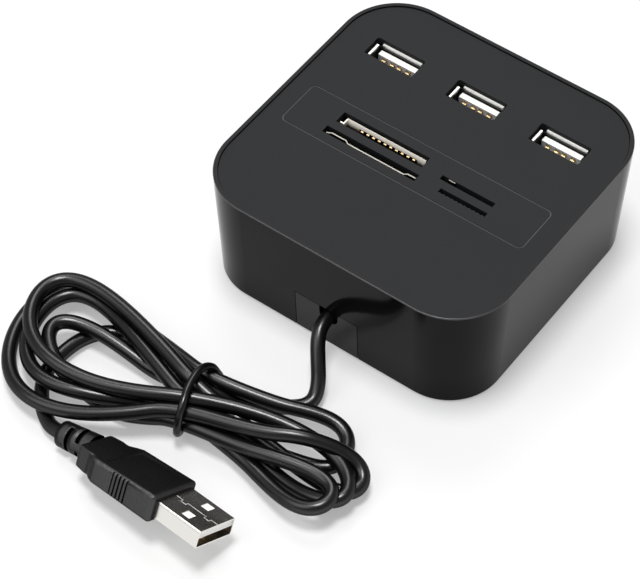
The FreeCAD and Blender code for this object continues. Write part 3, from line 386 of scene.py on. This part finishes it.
def tube(name, kind, path, diameter, roundness):
    """Piece of round section along one spline, with its path and diameter in millimetres."""
    line = bpy.data.curves.new(name, "CURVE")
    line.dimensions = "3D"
    line.bevel_depth = diameter / 2 * mm
    line.bevel_resolution = roundness
    line.resolution_u = 8
    spline = line.splines.new(kind)
    spline.points.add(len(path) - 1)
    for point, (x, y, z) in zip(spline.points, path):
        point.co = (x * mm, y * mm, z * mm, 1.0)
    spline.order_u = 3
    piece = bpy.data.objects.new(name, line)
    bpy.context.scene.collection.objects.link(piece)
    return piece


cord = tube("cord", "NURBS", route, cord_diameter, roundness=6)
cord.data.use_fill_caps = True
cord.data.splines[0].use_endpoint_u = True
cord_colour = (0.003, 0.003, 0.0032)
turned_away, turned_far = 0.22, 0.5


def facing_gloss(material, facing, aside):
    """Gloss that is weaker where the surface turns away from the eye, as on a soft waxy skin."""
    tree = material.node_tree
    turned = tree.nodes.new("ShaderNodeLayerWeight").outputs["Facing"]
    gloss = ramp(tree, turned, turned_away, turned_far, facing, aside)
    tree.links.new(gloss, tree.nodes["Principled BSDF"].inputs["Specular IOR Level"])


cord_sheath = textured("cord_sheath", cord_colour, grain=900.0, cloud=60.0, tone_change=0.3,
                       roughness=0.29, roughness_change=0.05, bump=0.2)
facing_gloss(cord_sheath, facing=0.55, aside=0.08)
cord.data.materials.append(cord_sheath)
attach(cord, "root")
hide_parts("cord_lead", "cord_hank", "cord_tail")

# The tie: a thin loop of soft black plastic, drawn tight round the middle of the turns and closed under them.
# It has the same gloss black skin as the cord.
tie_diameter = 1.9
tie_path = [(-12.4, -64.6, 7.4), (-13.1, -65.2, 9.7), (-13.8, -67.2, 11.4), (-13.8, -69.6, 12.3),
            (-13.2, -72.8, 12.6), (-12.0, -76.5, 12.9), (-10.6, -79.8, 12.0), (-10.2, -81.9, 9.0),
            (-10.4, -82.3, 6.0), (-11.1, -81.6, 3.3), (-12.0, -79.6, 1.05), (-13.4, -74.0, 1.05),
            (-13.4, -68.5, 1.05), (-12.6, -64.9, 2.2), (-12.0, -63.8, 5.0)]
tie_loop = tube("tie_loop", "NURBS", tie_path, tie_diameter, roundness=5)
tie_loop.data.splines[0].use_cyclic_u = True
tie_loop.data.materials.append(cord_sheath)
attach(tie_loop, "root")
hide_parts("cord_tie")

# The plug's grip: black plastic moulded over the shell's end and the cord, lower and narrower towards the
# cord, with cut grooves on both sides, a shallow panel on top and a slotted boot.
plug_centre = (2.9, -99.5, 7.958)
plug_swing, plug_tip, plug_roll = math.radians(-6.2), math.radians(-4.5), math.radians(-28.0)
plug_place = (Matrix.Translation(plug_centre) @ Matrix.Rotation(plug_swing, 4, "Z")
              @ Matrix.Rotation(plug_tip, 4, "Y") @ Matrix.Rotation(plug_roll, 4, "X"))
plug_to_world = Matrix.Scale(mm, 4) @ plug_place
# Sections from the front to the neck: x on the near and far side, near and far y, bottom and top z.
sections = [(-0.7, -0.5, -7.75, 6.8, -3.25, 3.9), (-18.8, -16.8, -7.75, 6.8, -3.5, 2.75),
            (-20.3, -18.6, -7.2, 5.9, -3.5, 2.6), (-21.6, -20.6, -6.1, 4.6, -3.4, 2.45),
            (-26.1, -25.7, -5.5, 3.7, -3.25, 2.25)]
grip_near, grip_far = sections[0][2:4]
grip_round, shoulder_angle = 1.0, math.radians(30)
groove_count, groove_pitch, groove_middle = 5, 1.08, -11.0
groove_width, groove_depth, groove_height, groove_outside = 0.5, 0.5, 12.0, 1.0
panel_margin, panel_edge, panel_depth = 1.5, 0.25, 0.2
boot_cut_x, boot_start_x, boot_length = -25.75, -22.2, 13.2
boot_droop = math.radians(10.0)
boot_radius, boot_end_radius, boot_skin = 3.6, 3.2, 0.25
merge_distance = 0.00001
smooth_angle = math.radians(32)


def set_section(face, near_x, far_x, near, far, bottom, top):
    """Moves a four-cornered face of the grip to one of its sections."""
    middle = face.calc_center_median()
    for vert in face.verts:
        x, y = (near_x, near) if vert.co.y < middle.y else (far_x, far)
        vert.co = (x, y, bottom if vert.co.z < middle.z else top)


def placed(name, shape):
    """Turns a bmesh into an object of the scene."""
    mesh = bpy.data.meshes.new(name)
    shape.to_mesh(mesh)
    shape.free()
    piece = bpy.data.objects.new(name, mesh)
    bpy.context.scene.collection.objects.link(piece)
    return piece


shape = bmesh.new()
bmesh.ops.create_cube(shape, size=2.0)
front = max(shape.faces, key=lambda face: face.calc_center_median().x)
rear = min(shape.faces, key=lambda face: face.calc_center_median().x)
set_section(front, *sections[0])
set_section(rear, *sections[1])
for section in sections[2:]:
    rear = bmesh.ops.extrude_discrete_faces(shape, faces=[rear])["faces"][0]
    set_section(rear, *section)
sharp = [edge for edge in shape.edges if edge.calc_face_angle(0.0) > shoulder_angle]
bmesh.ops.bevel(shape, geom=sharp, offset=grip_round, offset_type="OFFSET", segments=4, profile=0.5,
                affect="EDGES", material=-1, clamp_overlap=True)
top = max(shape.faces, key=lambda face: face.calc_area() * max(face.normal.z, 0.0))
bmesh.ops.inset_individual(shape, faces=[top], thickness=panel_margin, depth=0.0)
bmesh.ops.inset_individual(shape, faces=[top], thickness=panel_edge, depth=-panel_depth)
grip = placed("plug_grip", shape)
shape = bmesh.new()
for number in range(groove_count):
    x = groove_middle + (number - (groove_count - 1) / 2) * groove_pitch
    for near, far in ((grip_near - groove_outside, grip_near + groove_depth),
                      (grip_far - groove_depth, grip_far + groove_outside)):
        groove = bmesh.ops.create_cube(shape, size=1.0)["verts"]
        bmesh.ops.scale(shape, verts=groove, vec=(groove_width, far - near, groove_height))
        bmesh.ops.translate(shape, verts=groove, vec=(x, (near + far) / 2, 0.0))
cutter = placed("grip_grooves", shape)
grooves = grip.modifiers.new("grooves", "BOOLEAN")
grooves.operation = "DIFFERENCE"
grooves.object = cutter
grooves.solver = "EXACT"
grooved = bpy.data.meshes.new_from_object(grip.evaluated_get(bpy.context.evaluated_depsgraph_get()))
grip.modifiers.clear()
bpy.data.objects.remove(cutter)
shape = bmesh.new()
shape.from_mesh(grooved)
bmesh.ops.transform(shape, matrix=plug_to_world, verts=shape.verts)
# The boot keeps the shape that it has in the frame, cut off inside the neck.
boot = bmesh.new()
boot.from_mesh(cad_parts["plug_overmould"].data)
bmesh.ops.remove_doubles(boot, verts=boot.verts, dist=merge_distance)
boot_cut = plug_to_world @ Vector((boot_cut_x, 0.0, 0.0))
along = plug_place.to_3x3() @ Vector((1.0, 0.0, 0.0))
cut_edge = bmesh.ops.bisect_plane(boot, geom=[*boot.verts, *boot.edges, *boot.faces], plane_co=boot_cut,
                                  plane_no=along, clear_outer=True)["geom_cut"]
bmesh.ops.holes_fill(boot, edges=[part for part in cut_edge if isinstance(part, bmesh.types.BMEdge)], sides=0)
# The slits' inner faces, nearer to the boot's axis than its skin, get painted shade: near black, without
# gloss.
boot_axis = Vector((-math.cos(boot_droop), 0.0, -math.sin(boot_droop)))
world_to_plug = plug_to_world.inverted()
for face in boot.faces:
    arm = world_to_plug @ face.calc_center_median() - Vector((boot_start_x, 0.0, 0.0))
    reach = arm.dot(boot_axis)
    limit = boot_radius + (boot_end_radius - boot_radius) * reach / boot_length - boot_skin
    if reach < boot_length - boot_skin and (arm - boot_axis * reach).length < limit:
        face.material_index = 1
boot_mesh = bpy.data.meshes.new("boot")
boot.to_mesh(boot_mesh)
boot.free()
shape.from_mesh(boot_mesh)
grip_mesh = grip.data
shape.to_mesh(grip_mesh)
shape.free()
for face in grip_mesh.polygons:
    face.use_smooth = True
grip_mesh.set_sharp_from_angle(angle=smooth_angle)
flat_sides = grip.modifiers.new("flat_sides", "WEIGHTED_NORMAL")
flat_sides.keep_sharp = True
mould_colour = (0.0025, 0.0025, 0.0027)
mould_plastic = textured("mould_plastic", mould_colour, grain=1800.0, cloud=120.0, tone_change=0.35,
                         roughness=0.5, roughness_change=0.25, bump=140.0)
facing_gloss(mould_plastic, facing=1.0, aside=0.12)
# Painted shade for the boot's slits: near black, rough and without gloss.
slit_painted_shade_colour = (0.0008, 0.0008, 0.0008)
slit_painted_shade = textured("slit_painted_shade", slit_painted_shade_colour, grain=1800.0, cloud=120.0, tone_change=0.35,
                        roughness=0.8, roughness_change=0.1, bump=20.0, gloss=0.0)
grip_mesh.materials.append(mould_plastic)
grip_mesh.materials.append(slit_painted_shade)
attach(grip, "root")
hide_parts("plug_overmould")

# The plug's shell: steel sheet folded round the white insulator and its contacts, with a dovetailed seam on
# top whose bright edges are a painted highlight: a pale strip laid along the seam. The insulator's underside
# gets painted shade, dark as the mouth it lies in.
plug_colour = (0.8, 0.78, 0.74)
plug_steel = textured("plug_steel", plug_colour, grain=2200.0, cloud=120.0, tone_change=0.08,
                      roughness=0.24, roughness_change=0.1, bump=3.0, metallic=1.0)
wear(plug_steel, "plug_shell")
core_colour = (0.98, 0.97, 0.94)
core_painted_shade_colour = (0.02, 0.016, 0.013)
core_under, core_side = -0.8, -0.6
core_plastic = textured("core_plastic", core_colour, grain=1800.0, cloud=150.0, tone_change=0.06,
                        roughness=0.42, roughness_change=0.1, bump=4.0)
tree = core_plastic.node_tree
# Painted shade: the white insulator turns near black where it faces down.
core_tone = blended(tree, ramp(tree, upward(tree), core_under, core_side), (*core_painted_shade_colour, 1.0),
                    (*core_colour, 1.0))
tree.links.new(core_tone, tree.nodes["grain"].inputs["Tone"])
wear(core_plastic, "plug_insulator")
seam_path = [(-0.45, 0.0), (1.55, 0.0), (1.55, -0.8), (3.05, -0.8), (3.05, 0.0), (8.65, 0.0), (8.65, -0.8),
             (10.15, -0.8), (10.15, 0.0), (12.1, 0.0)]
seam_level, seam_width = 2.22, 0.14
seam_on_plug = [plug_place @ Vector((x, y, seam_level)) for x, y in seam_path]
# A pale strip laid along the seam: a painted highlight for its bright edges.
seam = tube("plug_seam", "POLY", seam_on_plug, seam_width, roundness=2)
seam_highlight_colour = (0.92, 0.9, 0.86)
seam_painted_highlight = textured("seam_painted_highlight", seam_highlight_colour, grain=2200.0, cloud=120.0, tone_change=0.08,
                      roughness=0.4, roughness_change=0.1, bump=3.0, metallic=0.4)
seam.data.materials.append(seam_painted_highlight)
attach(seam, "root")

# The stage: a plain white floor and an even pale surround, lit by one lamp overhead and two softer ones from
# the left, in front and behind. The camera looks down at the object as the photograph does.
floor_half = 4.0
floor_colour = (0.74, 0.74, 0.74)
floor_roughness, floor_glow = 0.9, 0.35
shape = bmesh.new()
bmesh.ops.create_grid(shape, x_segments=1, y_segments=1, size=floor_half)
floor = placed("floor", shape)
floor_paper = finish("floor_paper", floor_colour, gloss=0.0)
tree = floor_paper.node_tree
shader = tree.nodes["Principled BSDF"]
shader.inputs["Roughness"].default_value = floor_roughness


def background_rays(tree):
    """One for a ray that shows the background: straight to the camera, or by way of metal or glass."""
    rays = tree.nodes.new("ShaderNodeLightPath").outputs
    mirrored = calculate(tree, "MAXIMUM", rays["Is Glossy Ray"], rays["Is Transmission Ray"])
    return calculate(tree, "MAXIMUM", rays["Is Camera Ray"], mirrored)


glow = tree.nodes.new("ShaderNodeEmission")
paper = tree.nodes.new("ShaderNodeMixShader")
tree.links.new(calculate(tree, "MULTIPLY", background_rays(tree), floor_glow), paper.inputs["Fac"])
tree.links.new(shader.outputs["BSDF"], paper.inputs[1])
tree.links.new(glow.outputs["Emission"], paper.inputs[2])
tree.links.new(paper.outputs["Shader"], tree.nodes["Material Output"].inputs["Surface"])
floor.data.materials.append(floor_paper)

horizon_height, overhead_height = 0.1, 0.6
horizon_light, overhead_light = 0.6, 0.2
surround = bpy.data.worlds.new("surround")
bpy.context.scene.world = surround
surround.use_nodes = True
tree = surround.node_tree
height = upright(tree, tree.nodes.new("ShaderNodeTexCoord").outputs["Generated"])
fade = ramp(tree, height, horizon_height, overhead_height, horizon_light, overhead_light, "SMOOTHSTEP")
sky = tree.nodes["Background"]
sky.inputs["Color"].default_value = (1.0, 1.0, 1.0, 1.0)
tree.links.new(fade, sky.inputs["Strength"])

for name, energy, spread, source in (("top_lamp", 2.6, 18, (-0.05, 0.0, 1.0)),
                                     ("key_lamp", 0.8, 26, (-0.37, 0.505, 0.78)),
                                     ("fill_lamp", 0.8, 40, (-0.37, -0.5, 0.78))):
    lamp_data = bpy.data.lights.new(name, "SUN")
    lamp_data.energy = energy
    lamp_data.angle = math.radians(spread)
    lamp = bpy.data.objects.new(name, lamp_data)
    lamp.rotation_euler = Vector(source).to_track_quat("Z", "Y").to_euler()
    bpy.context.scene.collection.objects.link(lamp)

camera_turn, camera_rise = math.radians(36.21), math.radians(51.32)
camera_target, camera_distance = Vector((-1.75, -39.0, 20.0)) * mm, 626.12
view = bpy.data.cameras.new("view")
view.sensor_fit = "HORIZONTAL"
view.sensor_width = 36.0
view.lens = 152.92
camera = bpy.data.objects.new("view", view)
back = Vector((math.sin(camera_turn) * math.cos(camera_rise), -math.cos(camera_turn) * math.cos(camera_rise),
               math.sin(camera_rise)))
camera.location = camera_target + back * camera_distance * mm
camera.rotation_euler = (math.pi / 2 - camera_rise, 0, camera_turn)
bpy.context.scene.collection.objects.link(camera)
bpy.context.scene.camera = camera
bpy.context.scene.view_settings.view_transform = "Standard"
